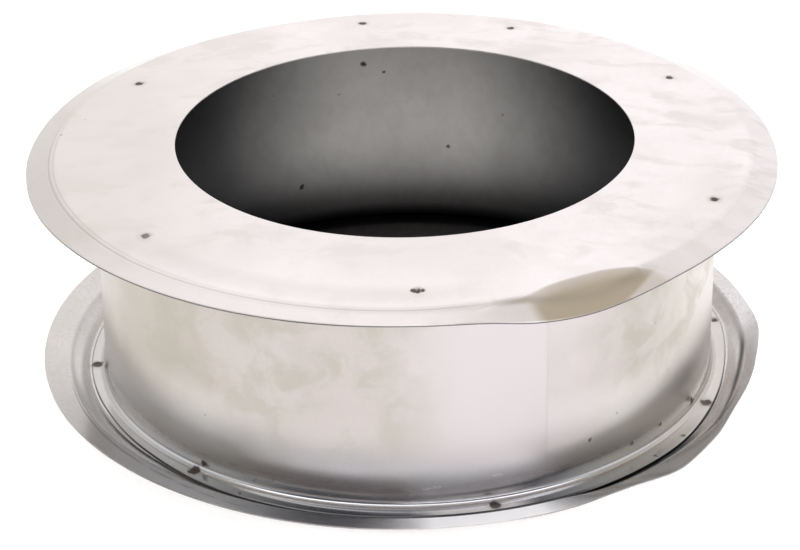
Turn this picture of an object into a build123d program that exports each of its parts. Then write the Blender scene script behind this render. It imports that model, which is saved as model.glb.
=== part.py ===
from build123d import *
import math
import os

# ---------------------------------------------------------------- dimensions
# Millimetres, +Z up.  The spool stands on its lower plate, Z = 0.
sheet = 0.7              # sheet thickness of all three pieces
plate_d = 332.0          # outside diameter of both plates
hole_d = 203.2           # round flue opening in both plates
drum_d = 276.6           # outside diameter of the rolled wall band
flange_d = 291.2         # outside diameter of the band's turned-out flanges
bend_r = 3.0             # bend between wall and flange, on the groove side
rim_gap = 92.5           # from rim edge to rim edge, outer faces

face_h = 7.6             # flat face above the rim edge
face_r = 147.0           # where the flat face ends
bead_in_r = 152.4        # inner line of the rolled crease
bead_out_r = 154.4       # outer line of the rolled crease
bead_in_h = 4.2          # height of the crease lines above the rim edge
bead_out_h = 2.4

seam_az = 294.7          # side seam of the band, counter-clockwise from +X
seam_gap = 0.25          # open line where the strip's outer end stops
lap_w = 14.0             # width of the strip's lapped inner end

weld_r = 143.4           # circle of the spot welds
weld_ball = 18.0         # electrode crown radius
weld_depth = 0.12        # how far the electrode sinks in
weld_tip_r = 2.6         # radius of the electrode's tip
upper_welds = (29.1, 68.7, 98.5, 151.0, 220.2, 272.3, 334.9)
lower_welds = (9.1, 53.0, 97.0, 141.0, 185.5, 229.6, 284.9, 337.6)

height = rim_gap + 2 * face_h      # overall, face to face
plate_r = plate_d / 2
hole_r = hole_d / 2
drum_r = drum_d / 2
flange_r = flange_d / 2


# ------------------------------------------------------------------- helpers
def turned(points):
    """Solid of revolution about Z of a closed (r, z) outline."""
    with BuildPart() as body:
        with BuildSketch(Plane.XZ):
            with BuildLine():
                Polyline(*points, close=True)
            make_face()
        revolve(axis=Axis.Z)
    return body.part


def crown(azimuth, z, side):
    """Crowned tip of the welding electrode, sunk into the face at height z."""
    a = math.radians(azimuth)
    ball = Pos(0, 0, side * (weld_ball - weld_depth)) * Sphere(weld_ball)
    tip = ball & Cylinder(weld_tip_r, 1.0)
    return Pos(weld_r * math.cos(a), weld_r * math.sin(a), z) * tip


# -------------------------------------------------------------------- plates
# One pressing for both ends: a flat ring, a low cone, a rolled crease and a
# rim that leans toward the middle of the spool.  Outer-face outline first.
rows = [
    (hole_r, height),
    (face_r, height),
    (bead_in_r, height - face_h + bead_in_h),
    (bead_out_r, height - face_h + bead_out_h),
    (plate_r, height - face_h),
]
outline = rows + [(r, z - sheet) for r, z in reversed(rows)]
plate = turned(outline)

top_plate = plate
for az in upper_welds:
    top_plate = top_plate - crown(az, height, 1)

bottom_plate = mirror(plate, about=Plane.XY.offset(height / 2))
for az in lower_welds:
    bottom_plate = bottom_plate - crown(az, 0, -1)

# ---------------------------------------------------------------- wall band
# A rolled strip with a flange turned outward at each end; both flanges lie
# flat against the inner faces of the plates.
low = sheet
high = height - sheet
skin = drum_r - sheet
with BuildPart() as band:
    with BuildSketch(Plane.XZ):
        with BuildLine():
            Line((flange_r, low), (drum_r + bend_r, low))
            ThreePointArc(
                (drum_r + bend_r, low),
                (
                    drum_r + bend_r - (bend_r + sheet) * math.sqrt(0.5),
                    low + (bend_r + sheet) * (1 - math.sqrt(0.5)),
                ),
                (skin, low + bend_r + sheet),
            )
            Line((skin, low + bend_r + sheet), (skin, high - bend_r - sheet))
            ThreePointArc(
                (skin, high - bend_r - sheet),
                (
                    drum_r + bend_r - (bend_r + sheet) * math.sqrt(0.5),
                    high - (bend_r + sheet) * (1 - math.sqrt(0.5)),
                ),
                (drum_r + bend_r, high),
            )
            Line((drum_r + bend_r, high), (flange_r, high))
            Line((flange_r, high), (flange_r, high - sheet))
            Line((flange_r, high - sheet), (drum_r + bend_r, high - sheet))
            ThreePointArc(
                (drum_r + bend_r, high - sheet),
                (
                    drum_r + bend_r * (1 - math.sqrt(0.5)),
                    high - sheet - bend_r * (1 - math.sqrt(0.5)),
                ),
                (drum_r, high - sheet - bend_r),
            )
            Line((drum_r, high - sheet - bend_r), (drum_r, low + sheet + bend_r))
            ThreePointArc(
                (drum_r, low + sheet + bend_r),
                (
                    drum_r + bend_r * (1 - math.sqrt(0.5)),
                    low + sheet + bend_r * (1 - math.sqrt(0.5)),
                ),
                (drum_r + bend_r, low + sheet),
            )
            Line((drum_r + bend_r, low + sheet), (flange_r, low + sheet))
            Line((flange_r, low + sheet), (flange_r, low))
        make_face()
    revolve(axis=Axis.Z)
wall_band = band.part

# side seam: the outer end of the strip stops at an open line, the inner end
# is lapped behind it between the two bends
slit = Rot(0, 0, seam_az) * Pos(drum_r, 0, height / 2) * Box(40, seam_gap, height)
wall_band = wall_band - slit

lap_low = low + sheet + bend_r + 1.0
lap_high = high - sheet - bend_r - 1.0
lap_angle = math.degrees(lap_w / skin)
with BuildPart() as lap:
    with BuildSketch(Plane.XZ):
        with BuildLine():
            Polyline(
                (skin - sheet, lap_low),
                (skin, lap_low),
                (skin, lap_high),
                (skin - sheet, lap_high),
                close=True,
            )
        make_face()
    revolve(axis=Axis.Z, revolution_arc=lap_angle)
wall_band = wall_band + Rot(0, 0, seam_az - lap_angle / 2) * lap.part

# electrode marks on the groove side of both flanges
for az in upper_welds:
    wall_band = wall_band - crown(az, high - sheet, -1)
for az in lower_welds:
    wall_band = wall_band - crown(az, low + sheet, 1)

# -------------------------------------------------------------------- export
os.makedirs("parts", exist_ok=True)
nodes = {
    "top_plate": top_plate,
    "bottom_plate": bottom_plate,
    "wall_band": wall_band,
}
for name, shape in nodes.items():
    solids = shape.solids()
    print(name, "solids", len(solids), "volume", round(shape.volume, 1),
          "box", shape.bounding_box())
    export_step(shape, "parts/" + name + ".step")
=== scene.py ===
import math

import bmesh
import bpy
import numpy as np
from mathutils import Matrix, Vector


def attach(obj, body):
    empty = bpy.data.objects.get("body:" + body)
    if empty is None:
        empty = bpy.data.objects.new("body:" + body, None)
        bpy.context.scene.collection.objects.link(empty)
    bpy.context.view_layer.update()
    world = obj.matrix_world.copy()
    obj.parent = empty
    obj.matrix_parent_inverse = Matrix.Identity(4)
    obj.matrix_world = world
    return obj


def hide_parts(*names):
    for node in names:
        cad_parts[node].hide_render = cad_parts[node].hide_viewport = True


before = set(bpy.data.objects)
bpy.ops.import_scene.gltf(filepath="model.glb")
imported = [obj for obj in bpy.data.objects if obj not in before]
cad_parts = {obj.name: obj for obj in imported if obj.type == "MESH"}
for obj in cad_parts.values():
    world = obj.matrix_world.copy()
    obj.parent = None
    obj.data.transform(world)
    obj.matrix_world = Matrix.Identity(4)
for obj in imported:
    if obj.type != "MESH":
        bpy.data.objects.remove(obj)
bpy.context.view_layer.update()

scene = bpy.context.scene

# ------------------------------------------------------------------ sizes, mm
MM = 0.001
SHEET = 0.7
HEIGHT = 107.7
PLATE_R = 166.0
HOLE_R = 101.6
DRUM_R = 138.3
FLANGE_R = 145.6
BEND = 3.0
CREASE_IN = 152.2
CREASE_OUT = 154.4
RIM_LOW = 7.6                       # lower plate: rim edge above the base
RIM_HIGH = HEIGHT - 7.6             # upper plate: rim edge, outer face
SEAM = 294.9

# azimuth (deg, counter-clockwise from +X) and radius of the spot welds
WELDS_UP = [(29.1, 140.6), (68.7, 140.4), (98.5, 141.1), (151.0, 141.7),
            (220.2, 140.6), (272.3, 142.2), (334.9, 145.0)]
WELDS_LOW = [(9.0, 144.9), (53.0, 143.4), (97.0, 143.0), (141.0, 143.6),
             (185.5, 142.4), (229.8, 141.3), (284.9, 142.8), (337.6, 142.9)]


# -------------------------------------------------------------------- helpers
def smooth(x):
    x = np.clip(x, 0.0, 1.0)
    return x * x * (3.0 - 2.0 * x)


def around(table, theta, blur):
    """Value at azimuth theta from (deg, value) rows, rounded off by blur deg."""
    a = np.array([r[0] for r in table], float)
    v = np.array([r[1] for r in table], float)
    fine = np.arange(0.0, 360.0, 0.25)
    y = np.interp(fine, a, v, period=360.0)
    n = int(max(1, round(3 * blur / 0.25)))
    k = np.exp(-0.5 * (np.arange(-n, n + 1) * 0.25 / blur) ** 2)
    k /= k.sum()
    y = np.convolve(np.concatenate([y[-n:], y, y[:n]]), k, mode="valid")
    return np.interp(np.mod(theta, 360.0), fine, y, period=360.0)


class Ripple:
    """Slow waviness of hand-worked sheet, the same on every run."""

    def __init__(self, seed, count, around_max, radial_max):
        g = np.random.default_rng(seed)
        self.n = g.integers(1, around_max + 1, count)
        self.m = g.uniform(-radial_max, radial_max, count)
        self.p = g.uniform(0, 2 * math.pi, count)
        self.w = g.uniform(0.4, 1.0, count) / np.sqrt(self.n)
        self.w /= np.sqrt((self.w ** 2).sum() / 2)

    def __call__(self, theta, u):
        t = np.radians(theta)
        out = 0.0
        for n, m, p, w in zip(self.n, self.m, self.p, self.w):
            out = out + w * np.cos(n * t + m * u + p)
        return out


def azimuths(step, fine_at, span, fine):
    parts = [np.arange(0.0, 360.0, step)]
    for s in fine_at:
        parts.append(np.mod(np.arange(s - span, s + span + 1e-9, fine), 360.0))
    a = np.unique(np.round(np.concatenate(parts), 4))
    keep = [a[0]]
    for v in a[1:]:
        if v - keep[-1] > 0.07:
            keep.append(v)
    if 360.0 - keep[-1] + keep[0] < 0.07:
        keep.pop()
    return np.array(keep)


def dimple(theta, r, welds, size, depth):
    """Crowned dimple with a faint raised lip at every weld."""
    x = r * np.cos(np.radians(theta))
    y = r * np.sin(np.radians(theta))
    out = np.zeros_like(x)
    for az, wr in welds:
        d = np.hypot(x - wr * math.cos(math.radians(az)),
                     y - wr * math.sin(math.radians(az)))
        out -= depth * np.exp(-((d / size) ** 4))
        out += 0.25 * depth * np.exp(-(((d - 1.45 * size) / (0.35 * size)) ** 2))
    return out


def ring_mesh(name, loops, **masks):
    """Closed skin from loops[azimuth, profile point, xyz], in millimetres."""
    na, npf, _ = loops.shape
    me = bpy.data.meshes.new(name)
    verts = (loops.reshape(-1, 3) * MM)
    i = np.arange(na)[:, None] * npf
    j = np.arange(npf)[None, :]
    i2 = (np.arange(na)[:, None] + 1) % na * npf
    j2 = (j + 1) % npf
    quads = np.stack([i + j, i + j2, i2 + j2, i2 + j], -1).reshape(-1, 4)
    me.from_pydata(verts.tolist(), [], quads.tolist())
    bm = bmesh.new()
    bm.from_mesh(me)
    bmesh.ops.recalc_face_normals(bm, faces=bm.faces)
    bm.to_mesh(me)
    bm.free()
    me.polygons.foreach_set("use_smooth", np.ones(len(me.polygons), bool))
    me.set_sharp_from_angle(angle=math.radians(50))
    for key, grid in masks.items():
        at = me.attributes.new(key, "FLOAT", "POINT")
        at.data.foreach_set("value", np.ascontiguousarray(grid, np.float32).reshape(-1))
    me.update()
    ob = bpy.data.objects.new(name, me)
    scene.collection.objects.link(ob)
    return ob


def bell(x, width):
    return np.exp(-((x / width) ** 2))


def xyz(theta, r, z, dx=0.0):
    t = np.radians(theta)
    return np.stack([r * np.cos(t) + dx, r * np.sin(t), z + 0 * t], -1)


# ------------------------------------------------------------------ top plate
# rim edge height against a true circle, all round: springy at the front and
# knocked down in one place at the front right
TOP_EDGE = [(0, 0.0), (20, 0.0), (40, 0.2), (60, -0.3), (90, -0.8), (118, -1.2),
            (135, -0.8), (148, 0.3), (160, 0.3), (180, 0.0), (200, 0.0),
            (208, 0.5), (216, 1.1), (235, 1.5), (255, 1.8), (270, 1.9),
            (277, 1.7), (281, 1.3), (284, 0.3), (286, -0.9), (288, -1.9),
            (292, -2.9), (297, -3.4), (302, -2.5), (306, -1.3), (310, -0.3),
            (314, 0.4), (318, 0.6), (322, 1.0), (330, 0.8), (345, 0.3)]
# where the knocked-down facet folds away from the plate, and its ridge, along which shade is painted
FOLD_R = [(276, 166.5), (279, 163.0), (282.3, 158.0), (285.5, 155.9), (289.2, 154.4),
          (291, 152.0), (292.8, 149.7), (295.6, 148.3), (299.3, 148.0), (303, 148.5),
          (305.9, 151.4), (308.7, 155.2), (310.5, 158.7), (312.5, 166.0), (316, 166.5)]
RIDGE_R = [(276, 158.2), (280, 157.5), (285.5, 156.0), (287.7, 156.2), (290.8, 156.5),
           (293.9, 157.1), (297, 158.1), (300.1, 159.0), (304, 158.0), (307.8, 157.8),
           (310.5, 158.8), (315, 160.0)]
# how deep the rolled crease is: clear on the left, nearly ironed out elsewhere
CREASE_DEEP = [(0, 0.10), (60, 0.0), (140, 0.0), (166, 0.0), (171, 0.35), (175, 1.0),
               (210, 1.0), (228, 0.75), (245, 0.5), (276, 0.42), (284, 0.1), (312, 0.0),
               (330, 0.12)]
ripple_top = Ripple(11, 14, 9, 0.05)


def top_dome(r):
    rr = np.array([95, HOLE_R, 112, 126, 142.4, CREASE_IN], float)
    hh = np.array([8.9, 8.35, 7.3, 6.0, 4.85, 4.25], float)
    return np.interp(r, rr, hh)


def smooth_profile(fn, lo, hi, width):
    r = np.arange(lo - 6, hi + 6, 0.05)
    h = fn(r)
    n = int(3 * width / 0.05)
    k = np.exp(-0.5 * (np.arange(-n, n + 1) * 0.05 / width) ** 2)
    k /= k.sum()
    hp = np.concatenate([h[0] + (h[1] - h[0]) * np.arange(-n, 0), h,
                         h[-1] + (h[-1] - h[-2]) * np.arange(1, n + 1)])
    return r, np.convolve(hp, k, mode="valid")


DOME_R, DOME_H = smooth_profile(top_dome, HOLE_R, CREASE_IN, 4.0)


def soft_corner(x, w):
    """0 below zero, x above it, rounded over about w."""
    return w * np.logaddexp(0.0, x / w)


CREASE = 154.6
CREASE_H = float(np.interp(CREASE_IN, DOME_R, DOME_H)) - (CREASE - CREASE_IN) * 0.06


def top_z(theta, r):
    """Outer face of the upper plate."""
    plate = np.interp(r, DOME_R, DOME_H)
    flat = float(np.interp(CREASE_IN, DOME_R, DOME_H))
    plate = np.where(r > CREASE_IN, flat - (r - CREASE_IN) * 0.06, plate)
    edge = around(TOP_EDGE, theta, 1.6)
    deep = around(CREASE_DEEP, theta, 3.0)
    sag = np.interp(theta, [205, 225, 272, 284], [0.0, 0.85, 0.95, 0.2], 0, 0)
    plate = plate - sag * smooth((r - 138.0) / 15.0)
    slope = (edge - CREASE_H + sag) / (PLATE_R - CREASE)
    h = plate + (slope + 0.06) * soft_corner(r - CREASE, 0.55)
    # two scored lines of the rolled crease
    h = h - deep * (0.09 * bell(r - 154.1, 0.42) + 0.14 * bell(r - 156.0, 0.40))
    # facet beyond the fold, easing in from the plate
    fold = around(FOLD_R, theta, 1.0)
    at_fold = np.interp(np.minimum(fold, CREASE), DOME_R, DOME_H)
    at_fold = np.where(fold > CREASE, CREASE_H + slope * (fold - CREASE), at_fold)
    k = np.clip((r - fold) / np.maximum(PLATE_R - fold, 0.5), 0.0, 1.2)
    facet = at_fold + (edge - at_fold) * k ** 1.15
    on = smooth((theta - 279.5) / 6.0) * smooth((313.0 - theta) / 3.0)
    mix = on * smooth((r - fold) / 2.4 + 0.5)
    h = h * (1 - mix) + facet * mix
    calm = smooth((r - HOLE_R) / 8.0)
    h = h + 0.10 * ripple_top(theta, r) * (0.35 + 0.65 * calm)
    return RIM_HIGH + h


def top_stain(theta, r):
    """Painted reflection: khaki tint on the knocked-down facet."""
    fold = around(FOLD_R, theta, 0.8)
    ridge = around(RIDGE_R, theta, 0.8)
    below = smooth((r - ridge - 0.5) / 2.0)
    left = smooth((theta - 281.5) / 5.0) * (1 - below) + \
        smooth((theta - 288.0 - 0.08 * (r - 160)) / 2.6) * below
    ends = np.interp(r, [157.0, 159.9, 161.8, 163.6, 165.2], [311.5, 310.1, 308.1, 306.1, 304.2])
    right = np.maximum(smooth((ends - theta) / 3.0 + 0.5), 0.38 * smooth((312.0 - theta) / 2.4))
    up = 0.55 * smooth((r - fold + 0.8) / 3.0) + 0.45 * smooth((r - fold - 1.5) / 6.0)
    return left * right * up * ((theta > 276) & (theta < 316))


def top_shade(theta, r):
    """Dark lines: crease on the left, ridge of the facet."""
    deep = around(CREASE_DEEP, theta, 3.0)
    lines = deep * (0.12 * bell(r - 154.1, 0.42) + 0.20 * bell(r - 156.0, 0.40))
    soft = np.interp(theta, [225, 250, 279, 284], [0.0, 0.13, 0.20, 0.0], 0, 0) * \
        bell(r - 155.6, 1.9)
    ridge = around(RIDGE_R, theta, 0.8)
    force = np.interp(theta, [277, 283, 286.5, 289, 296, 303, 306, 309, 311.5],
                      [0.0, 0.10, 0.26, 0.20, 0.12, 0.12, 0.20, 0.22, 0.0], 0, 0)
    wide = np.interp(theta, [280, 287, 295, 308], [1.0, 1.4, 2.6, 2.6])
    return np.maximum(np.maximum(lines, soft), force * bell(r - ridge, wide))


def top_shift(r):
    return -1.5 * smooth((r - 143.0) / 10.0)


theta = azimuths(0.72, [w[0] for w in WELDS_UP], 1.9, 0.24)
theta = np.unique(np.concatenate([theta, np.arange(279.05, 314.0, 0.72)]))
theta = theta[np.concatenate([[True], np.diff(theta) > 0.07])]
face_r = np.concatenate([
    [HOLE_R + 0.12], np.linspace(HOLE_R + 0.5, 136.0, 20),
    np.linspace(136.8, 147.6, 19), np.linspace(148.2, 151.4, 8),
    np.linspace(151.8, 153.0, 4), np.linspace(153.2, 157.0, 24), np.linspace(157.5, 165.2, 14), [PLATE_R - 0.12]])
back_r = np.concatenate([
    [PLATE_R - 0.12], np.linspace(165.2, 158.0, 6), np.linspace(157.0, 148.4, 15),
    np.linspace(146.0, 136.0, 6), np.linspace(132.0, HOLE_R + 0.5, 10),
    [HOLE_R + 0.12]])
TH, R1 = np.meshgrid(theta, face_r, indexing="ij")
TB, R2 = np.meshgrid(theta, back_r, indexing="ij")
ragged = Ripple(23, 20, 40, 0.0)(theta, 0.0)[:, None]
front = xyz(TH, R1, top_z(TH, R1) + dimple(TH, R1, WELDS_UP, 2.0, 0.22),
            top_shift(R1))
back = xyz(TB, R2, top_z(TB, R2) - SHEET, top_shift(R2))
T1 = theta[:, None]
hole_edge = np.concatenate([
    xyz(T1, np.full_like(T1, HOLE_R), top_z(T1, np.full_like(T1, HOLE_R)) - SHEET + 0.12),
    xyz(T1, np.full_like(T1, HOLE_R), top_z(T1, np.full_like(T1, HOLE_R)) - 0.12)], 1)
rim_r = PLATE_R + 0.04 * ragged
rim_edge = np.concatenate([
    xyz(T1, rim_r, top_z(T1, np.full_like(T1, PLATE_R)) - 0.12, -1.5),
    xyz(T1, rim_r, top_z(T1, np.full_like(T1, PLATE_R)) - SHEET + 0.12, -1.5)], 1)
two = np.zeros((len(theta), 2))
top_plate = ring_mesh(
    "upper_plate", np.concatenate([front, rim_edge, back, hole_edge], 1),
    # painted shade: crease and ridge lines on the face, the cut rim edge (partly its own darker colour, partly
    # shadow), the underside and the hole's edge
    shade=np.concatenate([top_shade(TH, R1), two + 0.86, 0 * R2 + 0.10, two + 0.12], 1),
    # painted reflection: khaki tint on the knocked-down facet
    stain=np.concatenate([top_stain(TH, R1), two, 0 * R2, two], 1),
    # underside inside the drum takes the darker inside colour: painted shade
    inner=np.concatenate([0 * R1, two, (R2 < 138.0) * 1.0, two], 1))

# --------------------------------------------------------------- bottom plate
# slope and width of the rim all round: narrow and bent up on the right-hand
# side, with a kink where the bend ends
LOW_RIM = [(0.8, 36), (2.4, 25), (4.2, 15), (7, 12), (60, 12), (120, 13), (180, 12),
           (235, 10.5), (262, 10.5), (268, 11), (273, 12), (288, 12), (293, 13),
           (297, 16), (302, 15), (306, 11), (309, 7), (313, 5), (316, 8), (319, 12),
           (322, 17), (325, 22), (328, 28), (331, 33), (335, 38), (340, 42), (346, 45),
           (352, 46), (357, 43)]
LOW_LEN = [(0.8, 8.2), (3.5, 7.4), (11, 6.8), (24, 6.9), (34, 8.5), (50, 11.87), (180, 11.87),
           (306, 11.87), (311, 12.4), (314, 12.2), (317, 11.0), (319, 10.5), (322, 9.9),
           (325, 10.0), (329, 9.1), (333, 8.3), (337, 7.8), (340, 7.8), (344.5, 7.3),
           (349.5, 7.0), (353, 7.6), (358.7, 8.5)]
# outer edge of the band's lower flange, and the gap of shadow beside it
FLANGE_EDGE = [(0, 145.6), (9, 147.6), (20, 147.0), (60, 145.6), (150, 145.2), (187, 144.6),
               (206, 143.8), (222, 144.4), (232, 145.8), (240, 146.6), (270, 146.8), (282, 147.3),
               (296, 147.8), (315, 147.6), (325, 147.5), (334, 146.2), (341, 145.3), (350, 144.6)]
SEAT_W = [(0, 0.3), (9, 0.3), (170, 0.4), (187, 0.4), (205, 0.28), (238, 0.3), (250, 0.5), (262, 0.9), (268, 1.1), (285, 1.1),
          (292, 1.0), (297, 1.1), (303, 1.7), (315, 1.9), (320, 1.3), (325, 0.8), (332, 0.6), (345, 0.5), (352, 0.3)]
# crease of the rim: radius, width and depth of its dark line
FOLD_LINE = [(0, 153.2), (17, 153.1), (60, 153.4), (150, 154.0), (190, 154.8), (200, 155.6),
             (212, 156.6), (221, 156.9), (232, 158.4), (241, 160.3), (252, 161.8), (270, 158.0),
             (300, 154.4), (313, 154.5), (324, 154.6), (328.5, 154.6), (332.8, 154.2), (338.2, 152.8),
             (345.2, 151.9), (351.6, 152.1), (358, 153.3)]
FOLD_W = [(0, 1.4), (17, 1.4), (60, 0.6), (195, 0.6), (260, 0.6), (310, 0.6), (325, 0.65),
          (335, 0.9), (345, 1.2), (356, 1.25)]
FOLD_DARK = [(0, 0.55), (3, 0.28), (17, 0.16), (30, 0.0), (190, 0.0), (197, 0.40), (205, 0.70),
             (225, 0.76), (240, 0.66), (252, 0.35), (262, 0.0), (304, 0.0), (310, 0.60),
             (318, 0.75), (330, 0.80), (345, 0.92), (357, 0.94)]
# height of the crease against the rest of the ring: pressed flatter at the front right
LOW_PRESS = [(0, 1.0), (295, 1.0), (303, 0.64), (330, 0.64), (338, 0.86), (346, 1.0)]
ripple_low = Ripple(31, 12, 8, 0.05)


def low_profile(theta, r):
    """Upper face of the lower plate as (radius, height)."""
    s = np.maximum(r - CREASE_OUT, 0.0)
    ang = np.radians(around(LOW_RIM, theta - 0.25 * s, 1.0))
    wide = around(FLANGE_EDGE, theta, 2.0) - 146.0
    z = np.interp(r - np.clip(wide, -1.3, 2.0) * smooth((r - 139.0) / 5.0) * smooth((153.6 - r) / 5.0),
                  LOW_R, LOW_H)
    press = around(LOW_PRESS, theta, 1.5)
    z = SHEET + (z - SHEET) * press
    full = around(LOW_LEN, theta, 1.0)
    start = SHEET + (5.85 - SHEET) * press
    ang = np.arcsin(np.clip(np.sin(ang) + (5.85 - start) / full, -0.9, 0.9))
    length = s * full / (PLATE_R - CREASE_OUT)
    radius = np.where(s > 0, CREASE_OUT + length * np.cos(ang), r)
    z = np.where(s > 0, start + length * np.sin(ang), z)
    wave = ripple_low(theta, r) * smooth((r - 147.0) / 8.0)
    return radius, z + 0.10 * wave


def low_raw(r):
    return np.interp(r, [90.0, 147.0, CREASE_IN + 0.2, CREASE_OUT, 166.0],
                     [0.7, 0.7, 4.25, 5.85, 8.3])


LOW_R, LOW_H = smooth_profile(low_raw, HOLE_R, PLATE_R, 0.45)



def low_shade(theta, r):
    """Painted shade along the flange's edge, in the crease, over the ring and rim, and in the corner inside the drum.
    """
    edge = around(FLANGE_EDGE, theta, 2.0)
    side = smooth((theta - 225) / 30.0)
    seat = (0.78 + 0.20 * side) * smooth((r - edge + 1.0) / 0.6) * \
        smooth((edge + around(SEAT_W, theta, 1.5) + 0.25 - r) / 0.5)
    ring = np.interp(theta, [0, 8, 150, 185, 205, 215, 240, 262, 272, 290, 300, 330, 352, 360],
                     [0.06, 0.04, 0.04, 0.06, 0.18, 0.27, 0.22, 0.12, 0.0, 0.0, 0.18, 0.16, 0.10, 0.06])
    ring = ring * smooth((r - 146.0) / 1.0) * smooth((153.6 - r) / 2.0)
    line = around(FOLD_DARK, theta, 1.0) * bell(r - around(FOLD_LINE, theta, 1.2),
                                                 around(FOLD_W, theta, 1.2))
    rim = np.interp(theta, [0.0, 2.0, 180, 195, 205, 215, 225, 240, 262, 267, 272, 291, 297, 304, 320, 356, 360],
                    [0.12, 0.04, 0.02, 0.12, 0.28, 0.40, 0.43, 0.36, 0.20, 0.12, 0.0, 0.0, 0.38, 0.42, 0.38, 0.20, 0.12])
    rim = rim * smooth((r - 153.0) / 2.0)
    corner = np.maximum(0.92 * smooth((r - 127.0) / 5.0), 0.30) * (r < 140.0)
    return np.maximum(np.maximum(np.maximum(seat, ring), np.maximum(line, rim)), corner)


def low_pale(theta, r):
    """Painted light: white, less metallic patches on the front of the rim and on parts of the ring."""
    edge = around(FLANGE_EDGE, theta, 2.0)
    rim = np.interp(theta, [0, 195, 210, 230, 262, 267, 271, 274, 290, 294, 298, 303, 320, 340, 360],
                    [0.10, 0.0, 0.0, 0.0, 0.0, 0.08, 0.36, 0.97, 0.97, 0.40, 0.10, 0.0, 0.05, 0.12, 0.10])
    rim = rim * smooth((r - 153.6) / 1.2)
    ring = np.interp(theta, [175, 190, 214, 240, 269, 274, 289, 295, 300],
                     [0.0, 0.30, 0.04, 0.0, 0.0, 0.9, 0.9, 0.35, 0.0], 0, 0) * \
        smooth((r - edge - 0.9) / 0.8) * smooth((155.0 - r) / 1.0)
    return np.maximum(rim, ring)


theta = azimuths(0.72, [w[0] for w in WELDS_LOW] + [0.0, 2.5], 1.9, 0.24)
face_r = np.concatenate([
    [HOLE_R + 0.12], np.linspace(HOLE_R + 0.5, 136.0, 16),
    np.linspace(138.0, 144.4, 6), np.linspace(144.8, 157.0, 38),
    np.linspace(158.0, 165.2, 9), [PLATE_R - 0.12]])
back_r = np.concatenate([
    [PLATE_R - 0.12], np.linspace(165.2, 158.0, 5), np.linspace(157.0, 146.5, 17),
    np.linspace(146.0, 138.4, 14), np.linspace(136.0, HOLE_R + 0.5, 10),
    [HOLE_R + 0.12]])
TH, R1 = np.meshgrid(theta, face_r, indexing="ij")
TB, R2 = np.meshgrid(theta, back_r, indexing="ij")
ra, za = low_profile(TH, R1)
rb, zb = low_profile(TB, R2)
ragged = Ripple(43, 20, 40, 0.0)(theta, 0.0)[:, None]
T1 = theta[:, None]
re, ze = low_profile(T1, np.full_like(T1, PLATE_R))
front = xyz(TH, ra, za)
back = xyz(TB, rb, np.maximum(zb - SHEET, 0.0) - dimple(TB, R2, WELDS_LOW, 2.3, 0.25))
rim_edge = np.concatenate([xyz(T1, re + 0.04 * ragged, ze - 0.12),
                           xyz(T1, re + 0.04 * ragged, ze - SHEET + 0.12)], 1)
hole = np.full_like(T1, HOLE_R)
hole_edge = np.concatenate([xyz(T1, hole, 0.12 + 0 * T1),
                            xyz(T1, hole, SHEET - 0.12 + 0 * T1)], 1)
two = np.zeros((len(theta), 2))
# painted shade on the rim's cut edge, partly the edge's own darker colour; lighter at the front
edge_dark = np.interp(T1, [262, 268, 284, 288], [0.45, 0.10, 0.10, 0.45])
bottom_plate = ring_mesh(
    "lower_plate", np.concatenate([front, rim_edge, back, hole_edge], 1),
    shade=np.concatenate([low_shade(TH, R1), two + edge_dark, 0 * R2, two + 0.15], 1),
    pale=np.concatenate([low_pale(TH, R1), two, 0 * R2, two], 1),
    stain=np.concatenate([0 * R1, two, 0 * R2, two], 1),
    # face inside the drum takes the dark inside colour: painted shade
    inner=np.concatenate([(R1 < 140.0) * 1.0, two, 0 * R2, two], 1))

# ------------------------------------------------------------------ wall band
ripple_wall = Ripple(53, 16, 12, 0.035)


DINGS = [(319.2, 64.0, 2.6, 0.45), (320.4, 58.5, 1.8, 0.25), (252.0, 40.0, 7.0, 0.12)]


def seam_offset(theta):
    """Lapped step where the strip's ends meet."""
    before = (theta - SEAM + 180.0) % 360.0 - 180.0
    return np.where(before <= 0, 0.07 * smooth((before + 5.0) / 5.0), 0.0)


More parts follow.
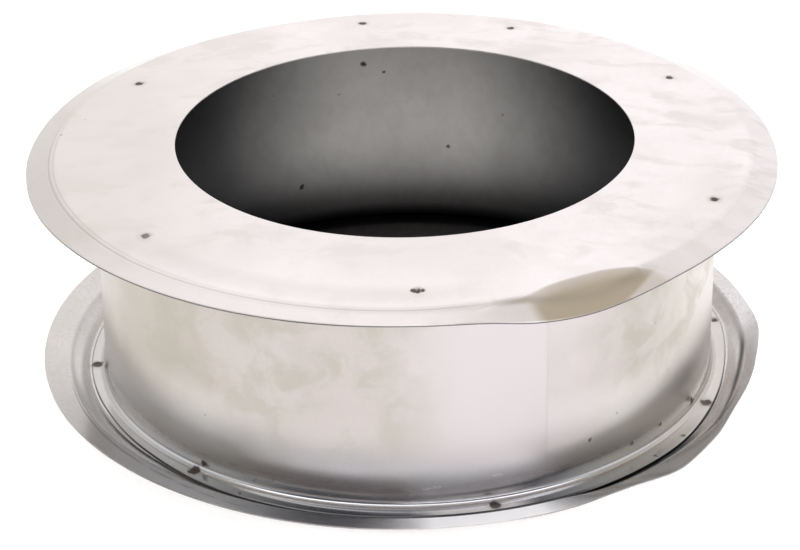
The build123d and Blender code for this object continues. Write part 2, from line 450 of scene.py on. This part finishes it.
def band_profile(theta):
    """Closed outline of the band at each azimuth: (na, np) radius and height."""
    n = len(theta)
    T = theta[:, None]
    edge = around(FLANGE_EDGE, T, 2.0) + 0.12 * Ripple(61, 16, 16, 0.0)(T, 0.0)
    edge_up = FLANGE_R + 0.22 * Ripple(67, 16, 16, 0.0)(T, 0.0)
    push = seam_offset(T)
    a = np.radians(np.linspace(0, 90, 9))
    # outer side, from the upper flange's edge down to the lower flange's edge
    fl = np.linspace(1.0, 0.0, 9)
    r_fl = lambda e: DRUM_R + BEND + (e - 0.12 - DRUM_R - BEND) * fl[None, :]
    up_r = r_fl(edge_up)
    up_z = top_z(T + 0 * up_r, up_r) - 2 * SHEET
    z_t = top_z(T, np.full_like(T, DRUM_R + BEND)) - 2 * SHEET - BEND
    z_b = 2 * SHEET + BEND
    arc_t_r = DRUM_R + BEND - BEND * np.sin(a)[None, 1:] + 0 * T
    arc_t_z = z_t + BEND * np.cos(a)[None, 1:]
    g = np.linspace(0, 1, 46)[None, 1:-1]
    wall_z = z_t + (z_b - z_t) * g
    wave = 0.10 * ripple_wall(T, wall_z) * smooth(g / 0.12) * smooth((1 - g) / 0.12)
    wall_r = DRUM_R + wave + push * smooth(g / 0.10) * smooth((1 - g) / 0.10)
    for az, z, size, depth in DINGS:
        d2 = ((T - az) * DRUM_R * math.pi / 180) ** 2 + (wall_z - z) ** 2
        wall_r = wall_r - depth * np.exp(-d2 / size ** 2)
    arc_b_r = DRUM_R + BEND - BEND * np.cos(a)[None, :-1] + 0 * T
    arc_b_z = z_b - BEND * np.sin(a)[None, :-1] + 0 * T
    lo_r = r_fl(edge)[:, ::-1]
    lo_z = 2 * SHEET + 0 * lo_r
    lo_z = lo_z + dimple(T + 0 * lo_r, lo_r, WELDS_LOW, 2.0, 0.28)
    # inner side, back up
    b = np.radians(np.linspace(0, 90, 7))
    rb = BEND + SHEET
    in_lo_r = np.stack([edge[:, 0], edge[:, 0], edge[:, 0] - 0.12,
                        np.full(n, DRUM_R + BEND + 2.0)], 1)
    in_lo_z = np.broadcast_to(np.array([2 * SHEET - 0.12, SHEET + 0.12, SHEET, SHEET]), (n, 4))
    in_b_r = DRUM_R + BEND - rb * np.sin(b)[None, :] + 0 * T
    in_b_z = SHEET + rb - rb * np.cos(b)[None, :] + 0 * T
    g2 = np.linspace(0, 1, 22)[None, 1:-1]
    in_z = (SHEET + rb) + (z_t - (SHEET + rb)) * g2
    in_wave = 0.10 * ripple_wall(T, in_z) * smooth(g2 / 0.12) * smooth((1 - g2) / 0.12)
    in_r = DRUM_R - SHEET + in_wave + push * smooth(g2 / 0.1) * smooth((1 - g2) / 0.1)
    in_t_r = DRUM_R + BEND - rb * np.cos(b)[None, :] + 0 * T
    in_t_z = z_t + rb * np.sin(b)[None, :]
    e_r = np.stack([np.full(n, DRUM_R + BEND + 2.0), edge_up[:, 0] - 0.12,
                    edge_up[:, 0], edge_up[:, 0]], 1)
    e_top = top_z(T + 0 * e_r, e_r)
    e_z = e_top - SHEET + np.array([[0.0, 0.0, -0.12, -SHEET + 0.12]])
    outer = [up_r, arc_t_r, wall_r, arc_b_r, lo_r]
    inside = [in_lo_r, in_b_r, in_r, in_t_r, e_r]
    rr = np.concatenate(outer + inside, 1)
    zz = np.concatenate([up_z, arc_t_z, wall_z, arc_b_z, lo_z, in_lo_z, in_b_z, in_z,
                         in_t_z, e_z], 1)
    # painted shade: dark edge of the lower flange, dark band at the foot with a dark patch near 331 deg, thin line of
    # the seam
    line = 0.065 * bell((T - SEAM), 0.20) * smooth((wall_z - 12.0) / 24.0)
    foot = np.interp(T, [0, 20, 150, 185, 215, 232, 260, 300, 335, 355],
                     [.2, 0, 0, .2, .25, .36, .58, .45, .30, .20])
    foot = 0.58 * foot * smooth((np.interp(T, [238, 248, 272, 280], [17.5, 19.5, 19.5, 17.5]) - wall_z) / 8.0) * \
        smooth((wall_z - np.interp(T, [230, 242], [3.0, 5.5])) / 4.0)
    dusk = np.interp(T, [232, 240, 262, 276], [0.0, 0.05, 0.04, 0.0])
    foot = np.maximum(foot, 0.34 * bell(T - 331.0, 6.0) * bell(wall_z - 23.0, 7.0))
    foot = np.maximum(foot, dusk * smooth((36.0 - wall_z) / 9.0) * smooth((wall_z - 9.0) / 5.0))
    # painted shade across the top of the lower flange
    flange_shade = np.interp(T, [0, 180, 228, 240, 270, 277, 290, 300, 318, 326, 334, 360],
                      [0.02, 0.05, 0.12, 0.32, 0.50, 0.08, 0.05, 0.22, 0.18, 0.06, 0.0, 0.02])
    lo_dark = np.concatenate([flange_shade + 0 * lo_r[:, :-1], 0 * lo_r[:, -1:] + 0.45], 1)
    # painted shadow line along the flange's outer edge at the front
    brink = np.interp(T, [246, 258, 270, 276, 299, 306], [0.0, 0.62, 0.62, 1.0, 1.0, 0.0]) * smooth((lo_r - edge + 1.4) / 0.6)
    lo_dark = np.maximum(lo_dark, 0.93 * brink)
    # painted shade inside the drum: darker towards both ends across X and towards the bottom
    ends = 0.92 * smooth((np.abs(np.cos(np.radians(T))) - 0.15) / 0.60)
    sunk = np.maximum(0.67 * smooth((50.0 - in_z) / 43.0), 0.97 * smooth((7.0 - in_z) / 3.0))
    shade_in = 1.0 - (1.0 - ends) * (1.0 - sunk)
    # painted shade also on the flange's cut edge and underside, the inner bends and the upper flange's underside
    shade = np.concatenate([
        0 * up_r, 0 * arc_t_r, np.maximum(line + 0 * wall_z, foot), 0 * arc_b_r, lo_dark,
        np.array([[0.85, 0.92, 0.92, 0.85]]) *
        (1.0 - 0.2 * np.interp(T, [192, 200, 236, 246], [0, 1, 1, 0])) + 0 * in_lo_r, 0 * in_b_r + 0.95, shade_in, 0.3 + 0 * in_t_r, 0.4 + 0 * e_r], 1)
    # painted reflection: rosy strip on the near side of the seam
    rosy = smooth((T - 262.0) / 20.0) * (0.70 + 0.30 * smooth((SEAM - T) / 0.12 + 0.5)) * \
        smooth((315.0 - T) / 18.0) * smooth((wall_z - 14.0) / 14.0)
    stain = np.concatenate([0 * up_r, 0 * arc_t_r, rosy, 0 * arc_b_r, 0 * lo_r]
                           + [0 * v for v in inside], 1)
    inner = np.concatenate([0 * v for v in outer] + [1 + 0 * v for v in inside], 1)
    # painted light and reflection colour: cooler tone low on the wall and on the lower flange; pale flange at both
    # sides
    cool = np.concatenate([0 * up_r, 0 * arc_t_r, smooth((35.0 - wall_z) / 17.0), 1 + 0 * arc_b_r,
                           1 + 0 * lo_r] + [0 * v for v in inside], 1)
    white = np.interp(T, [0, 8, 12, 60, 170, 186, 215, 228, 240, 262, 300, 318, 326, 334, 352, 360],
                      [0.85, 0.6, 0.2, 0.1, 0.3, 0.5, 0.42, 0.25, 0.08, 0.0, 0.05, 0.15, 0.45,
                       0.85, 0.95, 0.85])
    white = np.maximum(white, 0.8 * np.interp(T, [270, 275, 288, 293], [0, 1, 1, 0]) *
                       smooth((lo_r - 142.2) / 1.4)) * (1.0 - brink)
    # painted light: paler, less metallic patches on the wall
    wall_painted_light = np.interp(T, [200, 205, 214, 224, 232, 238, 241, 247, 278, 286, 292, 298, 304, 311, 320, 327],
                     [0.0, 0.05, 0.10, 0.27, 0.32, 0.20, 0.12, 0.10, 0.12, 0.26, 0.38, 0.58, 0.57, 0.54, 0.36, 0.0])
    from_z = np.interp(T, [205, 232, 241, 260, 286, 298, 304, 311, 320, 331],
                       [17.0, 16.0, 17.0, 17.0, 14.0, 15.0, 16.0, 18.0, 21.0, 27.0])
    wall_painted_light = wall_painted_light * smooth((wall_z - from_z) / 8.0) * smooth((50.0 - wall_z) / 18.0)
    gleam = np.interp(T, [331, 338, 350, 358], [0.0, 0.5, 0.5, 0.0]) * smooth((13.0 - wall_z) / 6.0)
    wall_painted_light = np.maximum(wall_painted_light, gleam)
    # painted light low on the left part of the wall
    low_wall_painted_light = np.interp(T, [208, 216, 224, 234, 242, 252, 262, 270], [0, .05, .12, .13, .10, .07, .06, 0])
    low_wall_painted_light = low_wall_painted_light * smooth((np.interp(T, [224, 234, 242, 252], [22.0, 22.0, 14.0, 11.0]) - wall_z) / 6.0)
    wall_painted_light = wall_painted_light + low_wall_painted_light * smooth((wall_z - np.interp(T, [241, 250], [4.5, 1.0])) / 3.0)
    pale = np.concatenate([0 * up_r, 0 * arc_t_r, wall_painted_light, 0 * arc_b_r, white]
                          + [0 * v for v in inside], 1)
    # handled, hazier zinc above the bright foot
    hazy = np.concatenate([1 + 0 * up_r, 1 + 0 * arc_t_r, smooth((wall_z - 6.5) / 5.0), 0 * arc_b_r,
                           0 * lo_r] + [0 * v for v in inside], 1)
    return rr, zz, dict(shade=shade, stain=stain, inner=inner, cool=cool, pale=pale, hazy=hazy)


theta = azimuths(0.72, [w[0] for w in WELDS_LOW], 1.8, 0.26)
theta = np.unique(np.concatenate([theta[np.abs(theta - SEAM) > 0.12],
                                  SEAM + np.array([-0.5, -0.25, -0.06, 0.06, 0.25, 0.5])]))
theta = theta[np.concatenate([[True], np.diff(theta) > 0.07])]
rr, zz, masks = band_profile(theta)
T2 = np.broadcast_to(theta[:, None], rr.shape)
wall_band = ring_mesh("drum_band", xyz(T2, rr, zz), **masks)


# ------------------------------------------------------------------ materials
class Nodes:
    """Short way to write a node tree."""

    def __init__(self, name):
        self.mat = bpy.data.materials.new(name)
        self.mat.use_nodes = True
        self.nt = self.mat.node_tree
        self.nt.nodes.clear()
        self.out = self.nt.nodes.new("ShaderNodeOutputMaterial")
        self.bsdf = self.nt.nodes.new("ShaderNodeBsdfPrincipled")
        self.nt.links.new(self.bsdf.outputs[0], self.out.inputs[0])
        self.co = self.nt.nodes.new("ShaderNodeTexCoord").outputs["Object"]

    def link(self, a, b):
        if isinstance(a, (int, float)):
            b.default_value = a
        elif isinstance(a, tuple):
            b.default_value = a if len(b.default_value) == len(a) else a[:3]
        else:
            self.nt.links.new(a, b)

    def noise(self, scale, detail=4.0, rough=0.55, co=None, stretch=None, distort=0.0):
        c = co if co is not None else self.co
        if stretch:
            m = self.nt.nodes.new("ShaderNodeMapping")
            m.inputs["Scale"].default_value = stretch
            self.link(c, m.inputs["Vector"])
            c = m.outputs[0]
        n = self.nt.nodes.new("ShaderNodeTexNoise")
        n.inputs["Scale"].default_value = scale
        n.inputs["Detail"].default_value = detail
        n.inputs["Roughness"].default_value = rough
        n.inputs["Distortion"].default_value = distort
        self.link(c, n.inputs["Vector"])
        return n.outputs["Fac"]

    def ramp(self, x, lo, hi, a=0.0, b=1.0):
        n = self.nt.nodes.new("ShaderNodeMapRange")
        n.interpolation_type = "SMOOTHSTEP"
        self.link(x, n.inputs["Value"])
        for k, v in zip(("From Min", "From Max", "To Min", "To Max"), (lo, hi, a, b)):
            n.inputs[k].default_value = v
        return n.outputs[0]

    def math(self, op, a, b=0.0):
        n = self.nt.nodes.new("ShaderNodeMath")
        n.operation = op
        self.link(a, n.inputs[0])
        self.link(b, n.inputs[1])
        return n.outputs[0]

    def mix(self, f, a, b):
        n = self.nt.nodes.new("ShaderNodeMix")
        n.data_type = "RGBA"
        self.link(f, n.inputs["Factor"])
        self.link(a, n.inputs["A"])
        self.link(b, n.inputs["B"])
        return n.outputs["Result"]

    def xyz(self, co=None):
        n = self.nt.nodes.new("ShaderNodeSeparateXYZ")
        self.link(co if co is not None else self.co, n.inputs[0])
        return n.outputs

    def spot(self, at, size, soft, co):
        """1 inside a round mark of that size (mm) at a point (mm)."""
        n = self.nt.nodes.new("ShaderNodeVectorMath")
        n.operation = "DISTANCE"
        self.link(co, n.inputs[0])
        n.inputs[1].default_value = Vector(at) * MM
        return self.ramp(n.outputs["Value"], size * MM, (size - soft) * MM)

    def jitter(self, amount, scale):
        """Coordinates shaken by noise, so that marks aren't round."""
        n = self.nt.nodes.new("ShaderNodeTexNoise")
        n.inputs["Scale"].default_value = scale
        self.link(self.co, n.inputs["Vector"])
        s = self.nt.nodes.new("ShaderNodeVectorMath")
        s.operation = "SUBTRACT"
        self.link(n.outputs["Color"], s.inputs[0])
        s.inputs[1].default_value = (0.5, 0.5, 0.5)
        m = self.nt.nodes.new("ShaderNodeVectorMath")
        m.operation = "SCALE"
        self.link(s.outputs[0], m.inputs[0])
        m.inputs["Scale"].default_value = amount * MM
        a = self.nt.nodes.new("ShaderNodeVectorMath")
        a.operation = "ADD"
        self.link(self.co, a.inputs[0])
        self.link(m.outputs[0], a.inputs[1])
        return a.outputs[0]

    def most(self, items):
        out = items[0]
        for x in items[1:]:
            out = self.math("MAXIMUM", out, x)
        return out

    def bump(self, h, strength, dist):
        n = self.nt.nodes.new("ShaderNodeBump")
        n.inputs["Strength"].default_value = strength
        n.inputs["Distance"].default_value = dist
        self.link(h, n.inputs["Height"])
        return n.outputs[0]


    def mask(self, key):
        n = self.nt.nodes.new("ShaderNodeAttribute")
        n.attribute_name = key
        return n.outputs["Fac"]


def at_ring(rows, z):
    """Points (mm) from rows of azimuth, radius and whatever follows."""
    return [((row[1] * math.cos(math.radians(row[0])), row[1] * math.sin(math.radians(row[0])), z),)
            + tuple(row[2:]) for row in rows]


def sheet_metal(name, light, dark, warm, stain, inner, rough, welds, specks_and_reflections, left, right, eye, patch,
                grit, marble, painted_light_color, front, clean, blotch, glints=()):
    """Zinc-coated sheet: clouds, smears, burnt weld marks and specks, with painted shade, light, reflections and
    glints from the masks and side ramps.
    """
    m = Nodes(name)
    cloud = m.noise(14.0, 5.0, 0.6, distort=0.4)
    smear = m.noise(patch[0], 5.0, 0.6, stretch=patch[1], distort=patch[2])
    fleck = m.noise(150.0, 4.0, 0.6, stretch=patch[1], distort=0.5)
    grain = m.noise(900.0, 2.0, 0.5)
    tone = m.mix(m.ramp(cloud, 0.36, 0.66), light, dark)
    tone = m.mix(m.ramp(smear, 0.49, 0.63, 0.0, 0.9), tone, warm)
    tone = m.mix(m.ramp(m.noise(20.0, 4.0, 0.55, stretch=(1.3, 0.8, 1.1)), 0.53, 0.62, 0.0, clean[0]), tone, clean[1])
    tone = m.mix(m.ramp(fleck, 0.60, 0.78, 0.0, 0.30), tone, dark)
    mottle = m.noise(85.0, 6.0, 0.7, distort=marble[0])
    tone = m.mix(m.ramp(mottle, 0.50, 0.64, 0.0, marble[1]), tone, dark)
    x = m.xyz()[0]
    # painted shade and light by side: darker towards -X, lighter towards +X and towards the front (-Y), set per piece
    tone = m.mix(m.ramp(x, -0.02, -0.16, 0.0, left[0]), tone, left[1])
    tone = m.mix(m.ramp(x, 0.095, 0.137, 0.0, right[0]), tone, right[1])
    tone = m.mix(m.ramp(m.xyz()[1], -0.08, -0.145, 0.0, front[0]), tone, front[1])
    blot = m.noise(42.0, 5.0, 0.6, stretch=(1.0, 1.0, 1.25), distort=0.5)
    tone = m.mix(m.ramp(blot, 0.44, 0.61, 0.0, blotch[0]), tone, blotch[1])
    # painted light and reflection colour where the cool mask is set, warmer towards +X and greyer towards -X
    tone = m.mix(m.mask("cool"), tone, (0.572, 0.568, 0.588, 1.0))
    tone = m.mix(m.math("MULTIPLY", m.mask("cool"), m.ramp(x, 0.05, 0.10, 0.0, 0.75)), tone,
                 (0.60, 0.565, 0.505, 1.0))
    tone = m.mix(m.math("MULTIPLY", m.mask("cool"), m.ramp(x, -0.03, -0.08, 0.0, 0.75)), tone,
                 (0.575, 0.57, 0.548, 1.0))
    tone = m.mix(m.ramp(m.noise(620.0, 3.0, 0.7), 0.48, 0.66, 0.0, grit), tone, left[1])
    # painted light: pale, less metallic colour where the pale mask is set
    pale = m.mask("pale")
    tone = m.mix(pale, tone, painted_light_color)
    # painted reflection: khaki and rosy tints from their mask
    stained = m.mask("stain")
    tone = m.mix(stained, tone, stain)
    # inside faces take their own colour pair, much darker on the plates: painted shade
    in_tone = m.mix(m.ramp(fleck, 0.35, 0.70), inner[0], inner[1])
    tone = m.mix(m.mask("inner"), tone, in_tone)
    tone = m.mix(m.mask("shade"), tone, (0.030, 0.031, 0.035, 1.0))
    shaken = m.jitter(2.6, 420.0)
    burns, halos = [], []
    for at, size, force in welds:
        core = m.spot(at, size, 1.3, shaken)
        hole = m.spot(at, 0.42 * size, 0.8, shaken)
        core = m.math("MULTIPLY", core, force)
        burns.append(m.math("SUBTRACT", core, m.math("MULTIPLY", hole, eye * force)))
        halos.append(m.spot(at, 2.0 * size, 1.6 * size, shaken))
    # specks; on the band some are painted reflections of the welds
    for at, size, force in specks_and_reflections:
        burns.append(m.math("MULTIPLY", m.spot(at, size, 0.5 * size, shaken), force))
    burn = m.most(burns)
    tone = m.mix(m.math("MULTIPLY", m.most(halos), 0.30), tone, (0.40, 0.34, 0.29, 1.0))
    tone = m.mix(burn, tone, (0.050, 0.034, 0.028, 1.0))
    # painted glints: small white, less metallic spots
    if glints:
        shiny = m.most([m.spot(at, size, 0.6 * size, shaken) for at, size in glints])
        tone = m.mix(m.math("MULTIPLY", shiny, 0.35), tone, (1.0, 1.0, 1.0, 1.0))
        pale = m.math("MAXIMUM", pale, m.math("MULTIPLY", shiny, 0.30))
    m.link(tone, m.bsdf.inputs["Base Color"])
    m.link(m.math("SUBTRACT", 1.0, m.math("MULTIPLY", pale, 0.95)), m.bsdf.inputs["Metallic"])
    r = m.math("ADD", m.ramp(cloud, 0.3, 0.7, rough - 0.03, rough + 0.04),
               m.ramp(smear, 0.5, 0.75, 0.0, 0.05))
    r = m.math("ADD", r, m.math("MULTIPLY", burn, 0.3))
    r = m.math("ADD", r, m.math("MULTIPLY", m.mask("inner"), 0.19))
    r = m.math("ADD", r, m.math("MULTIPLY", m.mask("hazy"), 0.16))
    m.link(r, m.bsdf.inputs["Roughness"])
    m.link(m.bump(grain, 0.04, 0.0001), m.bsdf.inputs["Normal"])
    return m.mat


WELD_FORCE = (0.92, 0.92, 0.88, 0.90, 0.66, 0.92, 0.92)
up_welds = [(p[0], 2.1 if k == 5 else 2.45, WELD_FORCE[k])
            for k, p in enumerate(at_ring(WELDS_UP, RIM_HIGH + 4.9))]
low_welds = [(p[0], 2.4 if k == 0 else 3.3, 0.92) for k, p in enumerate(at_ring(WELDS_LOW, 1.3))]
up_specks = at_ring([(187.0, 106.0, 1.0, 0.7), (174.8, 155.0, 1.1, 0.6), (168.7, 148.0, 0.8, 0.45),
                     (204.0, 131.0, 0.8, 0.35), (214.0, 148.0, 0.8, 0.35),
                     (271.65, 142.2, 1.75, 0.85), (272.95, 142.2, 1.75, 0.85)], RIM_HIGH + 4.8) + \
    at_ring([(295.1, 163.9, 0.9, 0.45), (296.9, 165.0, 0.8, 0.4)], RIM_HIGH - 1.6)
low_specks = at_ring([(352.0, 150.5, 1.0, 0.6), (206.0, 150.0, 0.8, 0.5), (316.0, 160.0, 0.8, 0.5),
                      (196.0, 158.0, 0.8, 0.4)], 3.0)
# dark specks on the band; the three low on the wall at 231.2, 191.2 and 334.8 deg are painted reflections of the
# lower welds
band_specks_and_reflections = []
for az, r, z, size, force in (
        (309.9, 138.3, 26.9, 0.8, 0.35), (303.9, 138.3, 18.8, 1.1, 0.75), (314.0, 138.3, 7.5, 1.2, 0.65),
        (322.2, 138.3, 8.5, 1.4, 0.75), (240.8, 144.6, 1.4, 0.9, 0.8), (255.1, 144.6, 1.4, 0.9, 0.75),
        (325.3, 145.4, 1.4, 1.3, 0.85), (317.0, 145.5, 1.4, 1.2, 0.8), (232.0, 138.3, 30.0, 0.8, 0.4),
        (246.0, 138.3, 8.0, 0.9, 0.5), (231.2, 138.3, 5.0, 1.9, 0.80),
        (191.2, 138.3, 8.6, 1.2, 0.70), (334.8, 138.3, 5.3, 1.7, 0.85), (319.6, 138.3, 61.0, 0.8, 0.22),
        (98.8, 137.6, 85.1, 1.7, 0.85), (94.7, 137.6, 80.2, 1.3, 0.75),
        (112.5, 137.6, 22.9, 1.5, 0.85), (81.5, 137.6, 40.0, 1.3, 0.6), (104.0, 137.6, 70.0, 0.9, 0.4),
        (118.0, 137.6, 75.0, 0.9, 0.35), (70.0, 137.6, 60.0, 1.0, 0.35)):
    band_specks_and_reflections += [(at_ring([(az, r)], z)[0][0], size, force)]

# painted glints: short rows of small white spots low on the wall and by the ding
band_glints = []
for a0, a1, z, size in ((272.8, 275.6, 10.0, 0.65), (285.2, 286.9, 13.0, 0.65), (280.0, 280.8, 8.8, 0.5),
                        (318.4, 318.8, 62.0, 0.7)):
    for az in np.arange(a0, a1, 0.45):
        band_glints += [(at_ring([(float(az), 138.3)], z)[0][0], size)]

# upper plate: left side darker (painted shade), front lighter (painted light), inside colour darker (painted shade)
top_metal = sheet_metal("galvanised_upper", (0.955, 0.905, 0.91, 1.0), (0.88, 0.825, 0.82, 1.0),
                        (0.82, 0.77, 0.755, 1.0), (0.60, 0.525, 0.42, 1.0),
                        ((0.50, 0.48, 0.46, 1.0), (0.44, 0.42, 0.40, 1.0)), 0.32,
                        up_welds, up_specks, (0.75, (0.76, 0.72, 0.67, 1.0)), (0.0, (0.9, 0.87, 0.87, 1.0)),
                        0.22, (44.0, (0.8, 1.3, 1.0), 0.5), 0.10, (0.7, 0.4), (0.9, 0.88, 0.87, 1.0),
                        (0.7, (1.0, 0.958, 0.965, 1.0)), (0.4, (0.97, 0.925, 0.93, 1.0)), (0.15, (0.86, 0.81, 0.80, 1.0)))
# lower plate: left side darker (painted shade), inside colours dark (painted shade)
low_metal = sheet_metal("galvanised_lower", (0.80, 0.77, 0.78, 1.0), (0.74, 0.71, 0.71, 1.0),
                        (0.74, 0.71, 0.69, 1.0), (0.6, 0.55, 0.45, 1.0),
                        ((0.20, 0.19, 0.185, 1.0), (0.155, 0.147, 0.143, 1.0)), 0.20,
                        [(p[0], 3.3, 0.9) for p in at_ring(WELDS_LOW, 0.0)], low_specks,
                        (0.5, (0.60, 0.57, 0.54, 1.0)), (0.0, (0.8, 0.77, 0.77, 1.0)),
                        0.0, (38.0, (1.0, 1.0, 1.0), 0.8), 0.60, (0.7, 0.4), (0.98, 0.97, 0.98, 1.0),
                        (0.0, (0.8, 0.77, 0.78, 1.0)), (0.3, (0.80, 0.78, 0.79, 1.0)), (0.3, (0.66, 0.63, 0.61, 1.0)))
# band: the same zinc set darker than the plates to dim the floor it mirrors, left side darker and right side lighter:
# painted shade and light
band_metal = sheet_metal("galvanised_band", (0.550, 0.500, 0.482, 1.0), (0.500, 0.457, 0.427, 1.0),
                         (0.445, 0.42, 0.358, 1.0), (0.630, 0.575, 0.588, 1.0),
                         ((0.555, 0.536, 0.518, 1.0), (0.515, 0.492, 0.468, 1.0)), 0.15,
                         low_welds, band_specks_and_reflections, (0.75, (0.455, 0.418, 0.36, 1.0)), (0.9, (0.74, 0.68, 0.65, 1.0)),
                         0.0, (24.0, (1.0, 1.0, 0.8), 0.25), 0.14, (0.7, 0.4), (0.865, 0.825, 0.80, 1.0),
                         (0.0, (0.56, 0.51, 0.49, 1.0)), (0.55, (0.585, 0.54, 0.53, 1.0)), (0.55, (0.410, 0.390, 0.328, 1.0)), band_glints)

for ob, mat, node, slot in (
        (top_plate, top_metal, "top_plate", "plate_sheet"),
        (bottom_plate, low_metal, "bottom_plate", "plate_sheet"),
        (wall_band, band_metal, "wall_band", "band_sheet")):
    ob.data.materials.append(mat)
    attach(ob, "root")
    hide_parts(node)

# ---------------------------------------------------------------- floor, light
floor_mesh = bpy.data.meshes.new("floor")
s = 6.0
floor_mesh.from_pydata([(-s, -s, 0), (s, -s, 0), (s, s, 0), (-s, s, 0)], [], [(0, 1, 2, 3)])
floor = bpy.data.objects.new("floor", floor_mesh)
scene.collection.objects.link(floor)
fm = Nodes("pale_floor")
fm.bsdf.inputs["Base Color"].default_value = (0.90, 0.90, 0.90, 1.0)
fm.bsdf.inputs["Roughness"].default_value = 0.9
fm.bsdf.inputs["Specular IOR Level"].default_value = 0.0
fm.bsdf.inputs["Emission Color"].default_value = (1.0, 1.0, 1.0, 1.0)
fm.bsdf.inputs["Emission Strength"].default_value = 0.32
floor.data.materials.append(fm.mat)
floor.location.z = -0.0002


def softbox(name, az, el, dist, size, power, color=(1, 1, 1), glossy=True, target=(0, 0, 0.05)):
    li = bpy.data.lights.new(name, "AREA")
    li.shape = "RECTANGLE"
    li.size, li.size_y = size
    li.energy = power
    li.color = color
    ob = bpy.data.objects.new(name, li)
    scene.collection.objects.link(ob)
    a, e = math.radians(az), math.radians(el)
    at = Vector(target)
    ob.location = at + dist * Vector((math.cos(e) * math.cos(a), math.cos(e) * math.sin(a),
                                      math.sin(e)))
    ob.rotation_euler = (at - ob.location).to_track_quat("-Z", "Y").to_euler()
    ob.visible_glossy = glossy
    return ob


def power_for(radiance, size):
    """Watts that give a rectangle that radiance."""
    return radiance * math.pi * size[0] * size[1]


# fill lights for the floor only: most of it low, so the drum's inside stays dim
box = (1.9, 0.9)
for k in range(6):
    softbox("floor_fill_%d" % k, 30 + 60 * k, 24, 2.4, box, power_for(3.9, box), glossy=False)
box = (3.0, 3.0)
softbox("floor_fill_top", -90, 88, 3.0, box, power_for(1.8, box), glossy=False)

# the room that the metal mirrors: a broad window behind, a dim warm ceiling,
# a bright strip high on the near side and a dim near wall below it
world = bpy.data.worlds.new("room")
world.use_nodes = True
scene.world = world
world.cycles_visibility.diffuse = False
wt = world.node_tree
bg = wt.nodes["Background"]
tc = wt.nodes.new("ShaderNodeTexCoord")
sep = wt.nodes.new("ShaderNodeSeparateXYZ")
wt.links.new(tc.outputs["Generated"], sep.inputs[0])


def w_range(x, lo, hi, a=0.0, b=1.0):
    n = wt.nodes.new("ShaderNodeMapRange")
    n.interpolation_type = "SMOOTHSTEP"
    wt.links.new(x, n.inputs["Value"])
    for k, v in zip(("From Min", "From Max", "To Min", "To Max"), (lo, hi, a, b)):
        n.inputs[k].default_value = v
    return n.outputs[0]


def w_math(op, x, y):
    n = wt.nodes.new("ShaderNodeMath")
    n.operation = op
    for v, i in ((x, 0), (y, 1)):
        if isinstance(v, (int, float)):
            n.inputs[i].default_value = v
        else:
            wt.links.new(v, n.inputs[i])
    return n.outputs[0]


def w_mix(f, x, y):
    n = wt.nodes.new("ShaderNodeMix")
    n.data_type = "RGBA"
    n.clamp_factor = True
    wt.links.new(f, n.inputs["Factor"])
    for v, k in ((x, "A"), (y, "B")):
        if isinstance(v, tuple):
            n.inputs[k].default_value = v
        else:
            wt.links.new(v, n.inputs[k])
    return n.outputs["Result"]


X, Y, Z = sep.outputs
near_wall = (0.13, 0.14, 0.155, 1.0)
ceiling = (0.70, 0.67, 0.63, 1.0)
window = (1.08, 1.06, 1.06, 1.0)
strip = (2.9, 2.9, 2.95, 1.0)
sky = w_mix(w_range(Z, 0.55, 0.85), near_wall, ceiling)
side = w_math("MULTIPLY", w_range(w_math("ABSOLUTE", X, 0.0), 0.55, 0.95),
              w_range(Z, 0.75, 0.55))
sky = w_mix(w_math("MULTIPLY", side, 0.9), sky, (1.06, 1.10, 1.16, 1.0))
low_sky = w_math("MULTIPLY", w_range(Z, 0.34, 0.22), w_range(Y, 0.1, -0.3))
low_sky = w_math("MULTIPLY", low_sky, w_math("MULTIPLY", w_range(X, -0.12, 0.06), w_range(X, 0.80, 0.62)))
sky = w_mix(low_sky, sky, (2.7, 2.7, 2.8, 1.0))
back = w_math("MULTIPLY", w_range(Y, 0.05, 0.55), w_range(Z, 0.83, 0.70))
back = w_math("MULTIPLY", back, w_range(X, -0.50, -0.05, 0.70, 1.0))
back = w_math("MULTIPLY", back, w_range(X, 0.45, 0.10, 0.84, 1.0))
sky = w_mix(back, sky, window)
band = w_math("MULTIPLY", w_range(Z, 0.62, 0.70), w_range(Z, 0.87, 0.70))
band = w_math("MULTIPLY", band, w_range(Y, -0.05, -0.35))
sky = w_mix(band, sky, strip)
wt.links.new(sky, bg.inputs[0])
bg.inputs[1].default_value = 1.0

scene.view_settings.view_transform = "Standard"
scene.view_settings.look = "None"

# -------------------------------------------------------------------- camera
R = 0.166
cam_data = bpy.data.cameras.new("camera")
cam_data.sensor_width = 36.0
cam_data.sensor_fit = "HORIZONTAL"
cam_data.lens = 2782.2 / 800.0 * 36.0
cam_data.clip_end = 50.0
cam = bpy.data.objects.new("camera", cam_data)
scene.collection.objects.link(cam)
yaw, pitch, roll = (math.radians(v) for v in (-0.683, 27.315, -0.976))
fwd = Vector((math.sin(yaw) * math.cos(pitch), math.cos(yaw) * math.cos(pitch), -math.sin(pitch)))
right = Vector((math.cos(yaw), -math.sin(yaw), 0.0))
up = right.cross(fwd)
cx = math.cos(roll) * right + math.sin(roll) * up
cy = -math.sin(roll) * right + math.cos(roll) * up
basis = Matrix((cx, cy, -fwd)).transposed().to_4x4()
cam.matrix_world = Matrix.Translation((0.0621 * R, -6.7688 * R, 3.682 * R + 0.00775)) @ basis
scene.camera = cam

bpy.context.view_layer.update()
